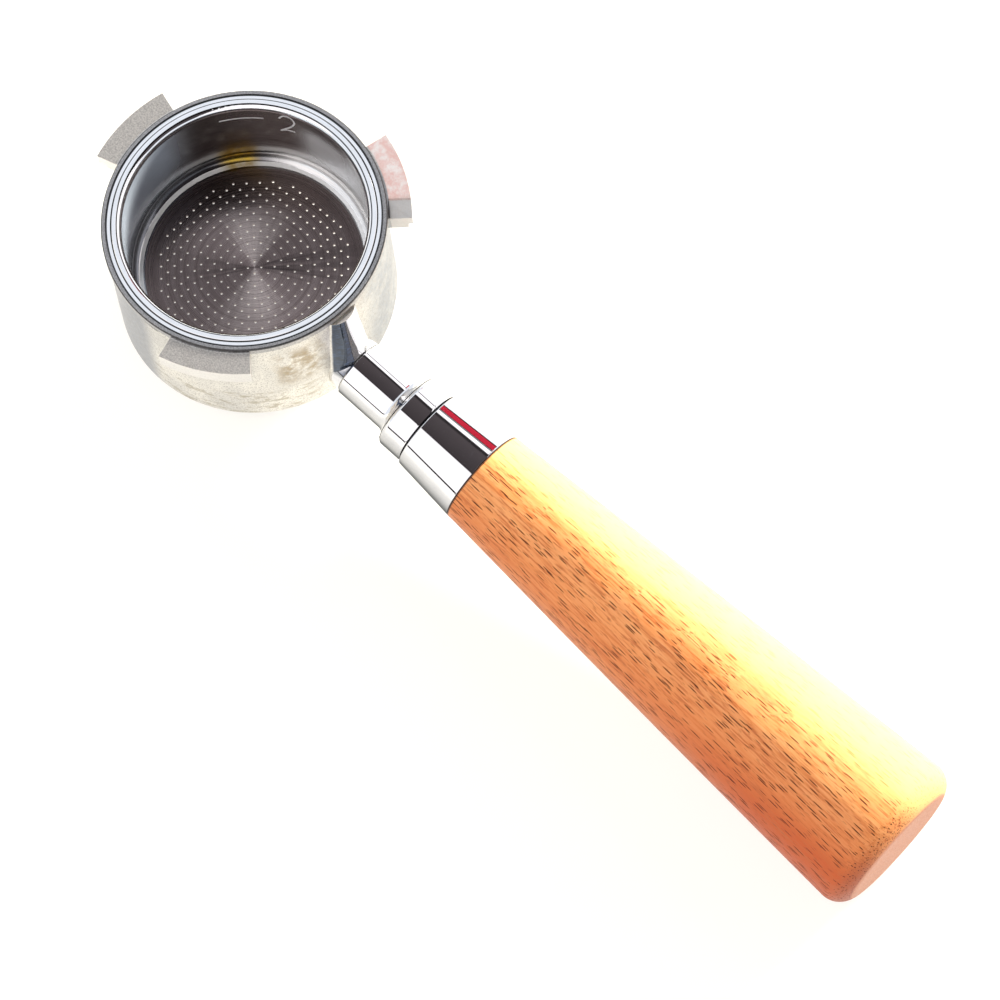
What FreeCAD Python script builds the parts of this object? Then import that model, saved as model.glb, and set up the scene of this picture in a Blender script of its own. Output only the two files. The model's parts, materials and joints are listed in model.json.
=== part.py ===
import FreeCAD, Part

import math
import os

import Sketcher

# Bottomless portafilter: an open ring with three lugs, a perforated basket held by a wire
# spring, and a wooden handle drawn up on a threaded stud through three chromed pieces.
#
# Everything is first built about the ring axis: z = 0 is the top of the rim, the handle points
# to +X. The whole assembly is then laid down on a table, where it rests on the far edge of the
# ring and on the end of the handle: +Z is up from that table.

DOC = FreeCAD.newDocument("portafilter")
SHEET = DOC.addObject("Spreadsheet::Sheet", "Dims")

DIMENSIONS = (
    # the ring, turned from a casting
    ("rim_radius", 30.0), ("rim_band", 2.1), ("wall_radius", 29.55), ("ring_height", 33.4),
    ("bore_radius", 26.75), ("seat_radius", 29.1), ("seat_depth", 1.0),
    ("base_round", 1.0), ("base_bevel", 0.8), ("rim_round", 0.3),
    # the three lugs that lock under a group head
    ("lug_radius", 35.0), ("lug_angle", 32.5), ("lug_drop", 0.65), ("lug_thick", 4.0),
    ("lug_root", 1.5), ("lug_count", 3), ("ramp_length", 4.0), ("ramp_drop", 1.3),
    ("stop_angle", 4.0), ("stop_drop", 1.7), ("stop_radius", 34.0),
    # the groove for the basket spring, and its window through the wall
    ("groove_depth", 3.2), ("groove_height", 1.5), ("groove_radius", 27.9),
    ("window_azimuth", -91.0), ("window_width", 7.5), ("window_height", 1.1),
    # the half-round boss that the handle screws into
    ("boss_offset", 26.6), ("boss_top_radius", 4.5), ("boss_low_radius", 6.2),
    ("boss_top", 2.5), ("boss_pad_radius", 6.25), ("boss_root", 2.0),
    # the handle's axis where it meets the ring axis: its depth under the rim and its distance
    # to one side; then its slope downwards and its turn about the ring axis
    ("axis_drop", 22.3), ("axis_side", -1.5), ("axis_slope", 8.5), ("axis_turn", 0.85),
    # how far a cutting body reaches past the metal it cuts
    ("cut_spare", 3.0),
    # the perforated basket
    ("basket_bore", 25.8), ("sheet_thick", 0.55), ("flange_radius", 28.95), ("flange_thick", 0.85),
    ("crest_rise", 0.3), ("crest_inner", 26.9), ("crest_outer", 27.7), ("flange_flat", 28.0),
    ("crest_bulge", 0.33),
    ("crest_fall", 0.35), ("flange_root", 0.25),
    ("chamber_depth", 23.6), ("shoulder_depth", 20.9), ("shoulder_bulge", 0.45),
    ("shoulder_step", 0.1), ("floor_radius", 23.5),
    ("foot_radius", 24.3), ("foot_rise", 0.7), ("foot_flare", 0.5),
    ("hole_pitch", 2.0), ("hole_diameter", 0.52), ("field_radius", 20.4),
    ("wire_diameter", 1.2), ("wire_play", 0.05), ("wire_gap_angle", 12.0),
    # stations along the handle's axis, counted from the ring axis
    ("neck_start", 31.5), ("flare_start", 43.1), ("collar_start", 45.2), ("ferrule_start", 51.6),
    ("wood_start", 66.8), ("wood_end", 183.7),
    ("neck_radius", 6.7), ("flare_radius", 8.45), ("flare_bulge", 0.5), ("neck_bevel", 0.45),
    ("collar_radius", 8.95), ("collar_round", 0.9),
    ("ferrule_small", 9.42), ("ferrule_large", 10.85), ("ferrule_round", 0.35),
    ("wood_small", 10.85), ("wood_lip", 11.05), ("wood_lip_length", 3.6),
    ("wood_belly", 0.2), ("wood_large", 18.25), ("wood_round", 5.0),
    ("spigot_radius", 8.55), ("spigot_length", 8.0),
    # the stud and the brass insert in the wood
    ("stud_radius", 5.0), ("stud_start", 27.6), ("stud_end", 79.5), ("stud_bevel", 0.8),
    ("thread_play", 0.05), ("insert_radius", 6.75), ("insert_length", 22.0),
    ("insert_flute", 0.5), ("flute_inset", 2.0), ("flute_count", 12), ("wood_hole_spare", 2.0),
)


def fill_sheet():
    """Write each driving dimension in its own row, with its alias."""
    for row, (alias, value) in enumerate(DIMENSIONS, start=1):
        SHEET.set(f"A{row}", alias)
        SHEET.set(f"B{row}", str(value))
        SHEET.setAlias(f"B{row}", alias)
    DOC.recompute()


def dim(alias):
    """The value of a driving dimension, read from the sheet."""
    return float(getattr(SHEET, alias))


def cells(expression):
    """Put the sheet's name before each alias in an expression."""
    words = []
    word = ""
    for letter in expression + " ":
        if letter.isalnum() or letter == "_":
            word += letter
            continue
        words.append(f"Dims.{word}" if word and word[0].isalpha() and word not in FUNCTIONS else word)
        words.append(letter)
        word = ""
    return "".join(words).strip()


FUNCTIONS = ("sin", "cos", "tan", "abs", "deg")


def number(expression):
    """The value of an expression in aliases, in millimetres."""
    value = SHEET.evalExpression(cells(expression))
    return float(getattr(value, "Value", value))


def new_body(label):
    body = DOC.addObject("PartDesign::Body", label)
    body.Label = label
    return body


def plane(body, role):
    return next(item for item in body.Origin.OriginFeatures if item.Role == role)


def new_sketch(body, name, role="XZ_Plane", height=None):
    """A sketch on one of the body's own planes, lifted by an expression if one is given."""
    sketch = body.newObject("Sketcher::SketchObject", name)
    sketch.AttachmentSupport = (plane(body, role), "")
    sketch.MapMode = "FlatFace"
    if height:
        sketch.setExpression("AttachmentOffset.Base.z", cells(height))
    return sketch


def bind(sketch, constraint, expression):
    """Add one dimensional constraint and bind it to the sheet."""
    index = sketch.addConstraint(constraint)
    sketch.setExpression(f"Constraints[{index}]", cells(expression))


def place_point(sketch, geometry, end, x, y):
    """Hold a point at x, y from the sketch's origin, both given as expressions."""
    for kind, expression in (("DistanceX", x), ("DistanceY", y)):
        value = number(expression)
        if abs(value) < 1e-9:
            other = Sketcher.Constraint("PointOnObject", geometry, end, -2 if kind == "DistanceX" else -1)
            sketch.addConstraint(other)
        else:
            bind(sketch, Sketcher.Constraint(kind, -1, 1, geometry, end, value), expression)


def trace(sketch, path):
    """Draw a closed outline. A step is (x, y) for a line there, or (x, y, bulge) for an arc.

    The bulge is the distance of the arc's middle from its chord, positive to the left of travel.
    """
    corners = [FreeCAD.Vector(number(step[0]), number(step[1]), 0) for step in path]
    ends = []
    for index, start in enumerate(corners):
        following = (index + 1) % len(corners)
        if len(path[following]) == 3:
            ends.append(add_arc(sketch, index, path[index], path[following]))
        else:
            sketch.addGeometry(Part.LineSegment(start, corners[following]), False)
            ends.append((1, 2))
    for index, step in enumerate(path):
        before = index - 1 if index else len(path) - 1
        joined = Sketcher.Constraint("Coincident", before, ends[before][1], index, ends[index][0])
        sketch.addConstraint(joined)
        place_point(sketch, index, ends[index][0], step[0], step[1])


def add_arc(sketch, index, step, following):
    """Add the arc that leads from one step to the next; returns its start and end as point numbers."""
    x, y, bulge = following
    start = FreeCAD.Vector(number(step[0]), number(step[1]), 0)
    end = FreeCAD.Vector(number(x), number(y), 0)
    height = number(bulge)
    chord = end - start
    left = FreeCAD.Vector(-chord.y, chord.x, 0).normalize()
    middle = (start + end) * 0.5 + left * height
    first, last = (end, start) if height > 0 else (start, end)
    sketch.addGeometry(Part.Arc(first, middle, last), False)
    across = f"(({x}) - ({step[0]}))^2 + (({y}) - ({step[1]}))^2"
    radius = f"abs(({across}) / (8 * ({bulge})) + ({bulge}) / 2)"
    bind(sketch, Sketcher.Constraint("Radius", index, number(radius)), radius)
    return (2, 1) if height > 0 else (1, 2)


def revolve(body, name, path, kind="PartDesign::Revolution"):
    """Turn an outline, given as radius and height, about the body's Z axis."""
    sketch = new_sketch(body, name + "_outline")
    trace(sketch, path)
    feature = body.newObject(kind, name)
    feature.Profile = sketch
    feature.ReferenceAxis = (sketch, ["V_Axis"])
    feature.Angle = 360.0
    DOC.recompute()
    return feature


def checked_cut(body, make_feature, *details):
    """Make a feature that removes material, and refuse one that removes nothing."""
    before = body.Shape.Volume
    feature = make_feature(body, *details)
    DOC.recompute()
    if body.Shape.Volume > before - 1e-3:
        raise RuntimeError(f"{feature.Name} cuts nothing from {body.Label}")
    return feature


def circles_at(shape, spots):
    """Names of the full circles about Z whose radius and height are among the spots."""
    names = []
    for index, edge in enumerate(shape.Edges, start=1):
        if not isinstance(edge.Curve, Part.Circle):
            continue
        centre = edge.Curve.Center
        if math.hypot(centre.x, centre.y) > 1e-3:
            continue
        for radius, height in spots:
            if abs(edge.Curve.Radius - radius) < 1e-3 and abs(centre.z - height) < 1e-3:
                names.append(f"Edge{index}")
    return names


def round_edges(body, name, spots, alias, kind="PartDesign::Fillet"):
    """Fillet or chamfer the circles at the given (radius, height) expressions."""
    wanted = [(number(radius), number(height)) for radius, height in spots]
    base = body.Tip
    names = circles_at(base.Shape, wanted)
    if len(names) < len(wanted):
        raise RuntimeError(f"{name} found {len(names)} edges of {len(wanted)}")
    feature = body.newObject(kind, name)
    feature.Base = (base, names)
    size = "Size" if kind.endswith("Chamfer") else "Radius"
    feature.setExpression(size, cells(alias))
    DOC.recompute()
    return feature


# ---------------------------------------------------------------------------------- the ring


def add_lugs(ring):
    """Three flat lugs in a polar pattern, each with a small stop under one end."""
    lug_end = "180 - lug_angle / 2"
    lug = new_sketch(ring, "lug_outline", "XY_Plane", "-lug_drop")
    sector(lug, "wall_radius - lug_root", "lug_radius", lug_end, "180 + lug_angle / 2")
    pad = pad_down(ring, "lug", lug, "lug_thick")
    stop = new_sketch(ring, "stop_outline", "XY_Plane", "-lug_drop - lug_thick")
    sector(stop, "wall_radius - lug_root", "stop_radius", lug_end, lug_end + " + stop_angle")
    nib = pad_down(ring, "lug_stop", stop, "stop_drop")
    pattern = ring.newObject("PartDesign::PolarPattern", "lugs")
    pattern.Originals = [pad, nib]
    pattern.Axis = (plane(ring, "Z_Axis"), "")
    pattern.Angle = 360.0
    pattern.setExpression("Occurrences", cells("lug_count"))
    ring.Tip = pattern
    DOC.recompute()


def pad_down(body, name, sketch, length):
    """A pad that grows downwards from its sketch."""
    pad = body.newObject("PartDesign::Pad", name)
    pad.Profile = sketch
    pad.Reversed = True
    pad.setExpression("Length", cells(length))
    DOC.recompute()
    return pad


def cut_ramp(ring):
    """Slope the top of the lug beside the handle down to its end, with a tilted block."""
    fall = math.atan2(dim("ramp_drop"), dim("ramp_length"))
    reach = dim("ramp_length") + dim("cut_spare")
    azimuth = 180 - 360 / dim("lug_count") - dim("lug_angle") / 2
    around = FreeCAD.Rotation(FreeCAD.Vector(0, 0, 1), azimuth)
    tilted = around.multiply(FreeCAD.Rotation(FreeCAD.Vector(1, 0, 0), math.degrees(fall)))
    start_y = dim("ramp_length") - reach * math.cos(fall)
    start_z = -dim("lug_drop") - reach * math.sin(fall)
    start = FreeCAD.Vector(dim("rim_radius"), start_y, start_z)
    placement = FreeCAD.Placement(around.multVec(start), tilted)
    sizes = {
        "Length": "lug_radius - rim_radius + cut_spare",
        "Width": "ramp_length + cut_spare",
        "Height": "ramp_drop + cut_spare",
    }
    checked_cut(ring, add_primitive, "PartDesign::SubtractiveBox", "lug_ramp", sizes, placement)


def sector(sketch, inner, outer, start, end):
    """A piece of a flat ring between two radii and two azimuths in degrees."""
    first, last = math.radians(number(start)), math.radians(number(end))
    corners = []
    for arc, expression in enumerate((inner, outer)):
        radius = number(expression)
        points = [FreeCAD.Vector(radius * math.cos(a), radius * math.sin(a), 0) for a in (first, last)]
        halfway = (first + last) / 2
        middle = FreeCAD.Vector(radius * math.cos(halfway), radius * math.sin(halfway), 0)
        sketch.addGeometry(Part.Arc(points[0], middle, points[1]), False)
        sketch.addConstraint(Sketcher.Constraint("Coincident", arc, 3, -1, 1))
        bind(sketch, Sketcher.Constraint("Radius", arc, radius), expression)
        for end_point, angle in ((1, start), (2, end)):
            height = f"({expression}) * sin(({angle}) * 1 deg)"
            bind(sketch, Sketcher.Constraint("DistanceY", -1, 1, arc, end_point, number(height)), height)
        corners.append(points)
    for line, end_point in ((2, 1), (3, 2)):
        sketch.addGeometry(Part.LineSegment(corners[0][end_point - 1], corners[1][end_point - 1]), False)
        sketch.addConstraint(Sketcher.Constraint("Coincident", line, 1, 0, end_point))
        sketch.addConstraint(Sketcher.Constraint("Coincident", line, 2, 1, end_point))


def add_primitive(body, kind, name, sizes, placement):
    """A PartDesign primitive with its sizes bound to the sheet."""
    item = body.newObject(kind, name)
    for key, expression in sizes.items():
        item.setExpression(key, cells(expression))
    item.AttachmentSupport = (plane(body, "XY_Plane"), "")
    item.MapMode = "FlatFace"
    item.AttachmentOffset = placement
    DOC.recompute()
    return item


def handle_frame(station):
    """Placement on the handle's axis, its Z pointing away from the ring."""
    turned = FreeCAD.Rotation(FreeCAD.Vector(0, 0, 1), dim("axis_turn"))
    rotation = turned.multiply(FreeCAD.Rotation(FreeCAD.Vector(0, 1, 0), 90 + dim("axis_slope")))
    start = FreeCAD.Vector(0, dim("axis_side"), -dim("axis_drop"))
    return FreeCAD.Placement(start + rotation.multVec(FreeCAD.Vector(0, 0, station)), rotation)


def add_boss(ring):
    """A half-round rib that widens downwards, and the round pad that the neck sits on."""
    foot = handle_frame(dim("boss_offset") / math.cos(math.radians(dim("axis_slope")))).Base
    upright = FreeCAD.Placement(foot, FreeCAD.Rotation())
    sizes = {"Radius1": "boss_low_radius", "Radius2": "boss_top_radius"}
    sizes["Height"] = "axis_drop + boss_offset * tan(axis_slope * 1 deg) - boss_top"
    add_primitive(ring, "PartDesign::AdditiveCone", "boss_rib", sizes, upright)
    sizes = {"Radius": "boss_pad_radius", "Height": "neck_start - boss_offset + boss_root"}
    root = handle_frame(dim("boss_offset") - dim("boss_root"))
    add_primitive(ring, "PartDesign::AdditiveCylinder", "boss_pad", sizes, root)
    sizes = {"Radius": "boss_pad_radius + cut_spare", "Height": "cut_spare"}
    face = handle_frame(dim("neck_start"))
    checked_cut(ring, add_primitive, "PartDesign::SubtractiveCylinder", "boss_facing", sizes, face)


def cut_inside(ring):
    """The through bore, the seat for the basket's flange and the groove for the spring."""
    above = "cut_spare"
    below = "-ring_height - cut_spare"
    groove_floor = "-groove_depth - groove_height / 2"
    groove_roof = "-groove_depth + groove_height / 2"
    outline = [
        ("0", above),
        ("0", below),
        ("bore_radius", below),
        ("bore_radius", groove_floor),
        ("groove_radius", groove_floor),
        ("groove_radius", groove_roof),
        ("bore_radius", groove_roof),
        ("bore_radius", "-seat_depth"),
        ("seat_radius", "-seat_depth"),
        ("seat_radius", above),
    ]
    checked_cut(ring, revolve, "inside", outline, "PartDesign::Groove")


def cut_window(ring):
    """A slot through the wall onto the spring."""
    turned = FreeCAD.Rotation(FreeCAD.Vector(0, 0, 1), dim("window_azimuth"))
    low = -dim("groove_depth") - dim("window_height") / 2
    corner = FreeCAD.Vector(dim("bore_radius"), -dim("window_width") / 2, low)
    sizes = {"Length": "rim_radius - bore_radius + cut_spare"}
    sizes.update({"Width": "window_width", "Height": "window_height"})
    placement = FreeCAD.Placement(turned.multVec(corner), turned)
    checked_cut(ring, add_primitive, "PartDesign::SubtractiveBox", "spring_window", sizes, placement)


def cut_stud_hole(ring):
    """The hole for the stud, from inside the bore out through the boss."""
    sizes = {"Radius": "stud_radius + thread_play", "Height": "neck_start - boss_offset + 2 * cut_spare"}
    start = handle_frame(dim("boss_offset") - dim("cut_spare"))
    checked_cut(ring, add_primitive, "PartDesign::SubtractiveCylinder", "stud_hole", sizes, start)


def make_ring():
    ring = new_body("ring_body")
    revolve(ring, "blank", [
        ("0", "0"),
        ("0", "-ring_height"),
        ("wall_radius", "-ring_height"),
        ("wall_radius", "-rim_band"),
        ("rim_radius", "-rim_band"),
        ("rim_radius", "0"),
    ])
    round_edges(ring, "base_rounding", [("wall_radius", "-ring_height")], "base_round")
    round_edges(ring, "rim_rounding", [("rim_radius", "0"), ("rim_radius", "-rim_band")], "rim_round")
    add_lugs(ring)
    cut_ramp(ring)
    add_boss(ring)
    cut_inside(ring)
    mouth = [("bore_radius", "-ring_height")]
    round_edges(ring, "base_bevel_in", mouth, "base_bevel", "PartDesign::Chamfer")
    cut_window(ring)
    cut_stud_hole(ring)
    return ring


# -------------------------------------------------------------------------- basket and spring


def hole_centres():
    """The square lattice points inside the perforated field, the middle of a cell at the centre."""
    pitch = dim("hole_pitch")
    reach = dim("field_radius")
    steps = int(reach / pitch) + 1
    line = [(step + 0.5) * pitch for step in range(-steps, steps)]
    return [(x, y) for x in line for y in line if math.hypot(x, y) <= reach]


def punch_field(basket):
    """Every hole of the field in one pocket through the floor."""
    sketch = new_sketch(basket, "hole_field", "XY_Plane", "-chamber_depth + sheet_thick")
    upwards = FreeCAD.Vector(0, 0, 1)
    radius = dim("hole_diameter") / 2
    circles = [Part.Circle(FreeCAD.Vector(x, y, 0), upwards, radius) for x, y in hole_centres()]
    sketch.addGeometry(circles, False)
    cut = basket.newObject("PartDesign::Pocket", "perforation")
    cut.Profile = sketch
    cut.setExpression("Length", cells("3 * sheet_thick"))
    return cut


def make_basket():
    """The pressing: its outside from the floor up to the flange, then its inside back down."""
    basket = new_body("filter_basket")
    top = "(flange_thick - seat_depth)"
    outer = "basket_bore + sheet_thick"
    revolve(basket, "pressing", [
        ("0", "-chamber_depth - sheet_thick"),
        ("foot_radius", "-chamber_depth - sheet_thick"),
        ("foot_radius + foot_flare", "-chamber_depth + foot_rise - sheet_thick"),
        (outer, "-shoulder_depth", "-shoulder_bulge"),
        (outer, "-seat_depth - flange_root"),
        (outer + " + flange_root", "-seat_depth"),
        ("flange_radius", "-seat_depth"),
        ("flange_radius", top),
        ("flange_flat", top),
        ("crest_outer", top + " + crest_rise"),
        ("crest_inner", top + " + crest_rise"),
        ("basket_bore", "-seat_depth - crest_fall", "-crest_bulge"),
        ("basket_bore", "-shoulder_depth + shoulder_step"),
        ("foot_radius", "-chamber_depth + foot_rise", "shoulder_bulge"),
        ("floor_radius", "-chamber_depth + foot_rise"),
        ("floor_radius", "-chamber_depth"),
        ("0", "-chamber_depth"),
    ])
    checked_cut(basket, punch_field)
    return basket


def make_spring():
    """An open wire ring, swept round the basket."""
    spring = new_body("basket_spring")
    sketch = new_sketch(spring, "wire_section")
    radius = "basket_bore + sheet_thick + wire_play + wire_diameter / 2"
    centre = FreeCAD.Vector(number(radius), -dim("groove_depth"), 0)
    sketch.addGeometry(Part.Circle(centre, FreeCAD.Vector(0, 0, 1), dim("wire_diameter") / 2), False)
    bind(sketch, Sketcher.Constraint("Radius", 0, dim("wire_diameter") / 2), "wire_diameter / 2")
    bind(sketch, Sketcher.Constraint("DistanceX", -1, 1, 0, 3, centre.x), radius)
    bind(sketch, Sketcher.Constraint("DistanceY", -1, 1, 0, 3, centre.y), "-groove_depth")
    wire = spring.newObject("PartDesign::Revolution", "wire")
    wire.Profile = sketch
    wire.ReferenceAxis = (sketch, ["V_Axis"])
    wire.setExpression("Angle", cells("360 - wire_gap_angle"))
    DOC.recompute()
    return spring


# ---------------------------------------------------------------------------------- the handle


def turned_piece(label, start, path):
    """A piece turned about the handle's axis, its own z counted from its station."""
    body = new_body(label)
    revolve(body, "turning", path)
    body.Placement = handle_frame(dim(start))
    return body


def make_neck():
    """A sleeve with a bevelled foot and a flared end."""
    hole = "stud_radius + thread_play"
    length = "collar_start - neck_start"
    return turned_piece("neck_sleeve", "neck_start", [
        (hole, "0"),
        ("neck_radius - neck_bevel", "0"),
        ("neck_radius", "neck_bevel"),
        ("neck_radius", "flare_start - neck_start"),
        ("flare_radius", length, "flare_bulge"),
        (hole, length),
    ])


def make_collar():
    hole = "stud_radius + thread_play"
    length = "ferrule_start - collar_start"
    collar = turned_piece("collar_ring", "collar_start", [
        (hole, "0"),
        ("collar_radius", "0"),
        ("collar_radius", length),
        (hole, length),
    ])
    spots = [("collar_radius", "0"), ("collar_radius", length)]
    round_edges(collar, "collar_edges", spots, "collar_round")
    return collar


def make_ferrule():
    hole = "stud_radius + thread_play"
    length = "wood_start - ferrule_start"
    ferrule = turned_piece("ferrule", "ferrule_start", [
        (hole, "0"),
        ("ferrule_small", "0"),
        ("ferrule_large", length),
        ("spigot_radius + thread_play", length),
        ("spigot_radius + thread_play", f"{length} - spigot_length"),
        (hole, f"{length} - spigot_length"),
    ])
    spots = [("ferrule_small", "0"), ("ferrule_large", length)]
    round_edges(ferrule, "ferrule_edges", spots, "ferrule_round")
    return ferrule


def make_wood():
    """The grip with its spigot; z = 0 of the piece is the spigot's end face."""
    socket = "insert_radius + thread_play"
    length = "spigot_length + wood_end - wood_start"
    wood = new_body("wood_handle")
    revolve(wood, "turning", [
        (socket, "0"),
        ("spigot_radius", "0"),
        ("spigot_radius", "spigot_length"),
        ("wood_small", "spigot_length"),
        ("wood_lip", "spigot_length + wood_lip_length"),
        ("wood_large", length, "-wood_belly"),
        ("0", length),
        ("0", "insert_length + wood_hole_spare"),
        (socket, "insert_length + wood_hole_spare"),
    ])
    round_edges(wood, "end_rounding", [("wood_large", length)], "wood_round")
    wood.Placement = handle_frame(dim("wood_start") - dim("spigot_length"))
    return wood


def make_stud():
    length = "stud_end - stud_start"
    stud = turned_piece("handle_stud", "stud_start", [
        ("0", "0"),
        ("stud_radius", "0"),
        ("stud_radius", length),
        ("0", length),
    ])
    spots = [("stud_radius", "0"), ("stud_radius", length)]
    round_edges(stud, "stud_edges", spots, "stud_bevel", "PartDesign::Chamfer")
    return stud


def make_insert():
    """A fluted brass bush, tapped right through."""
    insert = new_body("insert_nut")
    revolve(insert, "turning", [
        ("stud_radius + thread_play", "0"),
        ("insert_radius", "0"),
        ("insert_radius", "insert_length"),
        ("stud_radius + thread_play", "insert_length"),
    ])
    start = FreeCAD.Vector(dim("insert_radius"), 0, dim("flute_inset"))
    placement = FreeCAD.Placement(start, FreeCAD.Rotation())
    sizes = {"Radius": "insert_flute", "Height": "insert_length - 2 * flute_inset"}
    flute = checked_cut(
        insert, add_primitive, "PartDesign::SubtractiveCylinder", "flute", sizes, placement)
    flutes = insert.newObject("PartDesign::PolarPattern", "flutes")
    flutes.Originals = [flute]
    flutes.Axis = (plane(insert, "Z_Axis"), "")
    flutes.Angle = 360.0
    flutes.setExpression("Occurrences", cells("flute_count"))
    insert.Tip = flutes
    DOC.recompute()
    insert.Placement = handle_frame(dim("wood_start") - dim("spigot_length"))
    return insert


# ------------------------------------------------------------------------------ laying it down


def rest_tilt():
    """Angle that brings the far base edge and the handle's end down onto one level, in radians."""
    slope = math.radians(dim("axis_slope"))
    edge = dim("base_round")
    knob = dim("wood_round")
    ring_x = -(dim("wall_radius") - edge)
    ring_z = -(dim("ring_height") - edge)
    length = dim("wood_end") - dim("wood_start") - dim("wood_lip_length")
    # a shallow arc's slope at its end is its chord's slope less four bulges over its length
    end_taper = (dim("wood_large") - dim("wood_lip") - 4 * dim("wood_belly")) / length
    along = dim("wood_end") - knob
    below = dim("wood_large") - knob * (1 + end_taper)
    knob_x = along * math.cos(slope) - below * math.sin(slope)
    knob_z = -dim("axis_drop") - along * math.sin(slope) - below * math.cos(slope)
    apart = math.hypot(knob_x - ring_x, knob_z - ring_z)
    return -math.atan2(knob_z - ring_z, knob_x - ring_x) + math.asin((knob - edge) / apart)


def lay_down(bodies):
    """Tilt the assembly onto the table and centre its footprint on the origin."""
    turn = FreeCAD.Rotation(FreeCAD.Vector(0, 1, 0), -math.degrees(rest_tilt()))
    for body in bodies:
        body.Placement = FreeCAD.Placement(FreeCAD.Vector(), turn).multiply(body.Placement)
    DOC.recompute()
    box = Part.makeCompound([body.Shape for body in bodies]).optimalBoundingBox(False)
    shift = FreeCAD.Vector(-box.Center.x, -box.Center.y, -box.ZMin)
    for body in bodies:
        body.Placement = FreeCAD.Placement(body.Placement.Base + shift, body.Placement.Rotation)
    DOC.recompute()


def check_objects(bodies):
    for item in DOC.Objects:
        if "Invalid" in item.State or "Error" in item.State:
            raise RuntimeError(f"{item.Name} failed: {item.State}")
    for body in bodies:
        shape = body.Shape
        if shape.isNull() or not shape.isValid() or len(shape.Solids) != 1:
            raise RuntimeError(f"{body.Label} is not one valid solid")


def main():
    fill_sheet()
    makers = (make_ring, make_basket, make_spring, make_neck, make_collar)
    makers += (make_ferrule, make_wood, make_stud, make_insert)
    bodies = [make() for make in makers]
    lay_down(bodies)
    check_objects(bodies)
    os.makedirs("parts", exist_ok=True)
    for body in bodies:
        body.Shape.exportStep(f"parts/{body.Label}.step")


main()
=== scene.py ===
import json
import math
from types import SimpleNamespace

import bpy
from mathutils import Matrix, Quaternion, Vector


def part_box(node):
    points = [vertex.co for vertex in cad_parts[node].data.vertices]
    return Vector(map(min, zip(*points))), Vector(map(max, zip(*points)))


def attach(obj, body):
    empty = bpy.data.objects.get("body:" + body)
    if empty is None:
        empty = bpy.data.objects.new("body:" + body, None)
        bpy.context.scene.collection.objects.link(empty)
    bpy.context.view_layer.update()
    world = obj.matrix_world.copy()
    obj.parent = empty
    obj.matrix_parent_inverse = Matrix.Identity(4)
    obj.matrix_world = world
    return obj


MM = 0.001

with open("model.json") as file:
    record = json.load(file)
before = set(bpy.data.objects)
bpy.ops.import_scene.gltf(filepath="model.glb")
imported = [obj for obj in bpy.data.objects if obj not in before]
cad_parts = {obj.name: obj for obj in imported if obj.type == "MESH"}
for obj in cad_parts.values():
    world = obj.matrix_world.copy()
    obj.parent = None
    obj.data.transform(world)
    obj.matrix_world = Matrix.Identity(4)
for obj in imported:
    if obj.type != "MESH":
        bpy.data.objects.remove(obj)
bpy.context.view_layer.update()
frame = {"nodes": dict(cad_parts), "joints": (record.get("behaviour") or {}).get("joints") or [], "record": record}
nodes = frame["nodes"]
joints = {joint["name"]: joint for joint in frame["joints"]}

# The ring's own frame: its origin is the middle of the rim, its Z the ring's axis.
RIM = Vector(joints["spring_turn"]["pos_m"])
AXIS = Vector(joints["spring_turn"]["axis"]).normalized()
LEAN = math.atan2(AXIS.x, AXIS.z)
ALONG = Vector((AXIS.z, 0.0, -AXIS.x))

# The handle's axis, from the flat at the end of the wood, pointing away from the ring.
end_face = next(mount for mount in frame["record"]["mounts"] if mount["name"] == "handle_end")
HANDLE_END = Vector(end_face["pos_m"])
HANDLE = Vector(end_face["axis"]).normalized()

# The ring's sizes that its finishes follow, in mm. The band and the drops are below the rim.
RING_RADIUS = 30.0
RIM_BAND = 2.1
LUG_DROP = 0.65

# The boss: how far from the ring's axis it starts, its top's drop, and how far the pad on its top
# and its root reach to each side.
BOSS_START = 29.0
BOSS_DROP = 2.5
BOSS_PAD = 6.3
BOSS_REACH = 7.5

# The basket's sizes that its finishes follow. The depths are below the rim.
FLANGE_RADIUS = 28.95
CREST_OUTER = 27.7
CREST_INNER = 26.9
BORE_RADIUS = 25.8
FOOT_RADIUS = 24.3
FLOOR_RADIUS = 23.5
SHOULDER_DEPTH = 20.9
FOOT_DEPTH = 22.9
CHAMBER_DEPTH = 23.6

# Where the handle's pieces begin, in mm before the end of the wood.
NECK_START = 152.2
COLLAR_START = 138.5
FERRULE_START = 132.1
WOOD_START = 116.9


def ring_point(radius, azimuth, height):
    """A point given by radius and height in mm and azimuth in degrees, in the ring's frame."""
    angle = math.radians(azimuth)
    flat = ALONG * math.cos(angle) + Vector((0.0, math.sin(angle), 0.0))
    return RIM + (flat * radius + AXIS * height) * MM


# ------------------------------------------------------------------------------- node building


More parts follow.
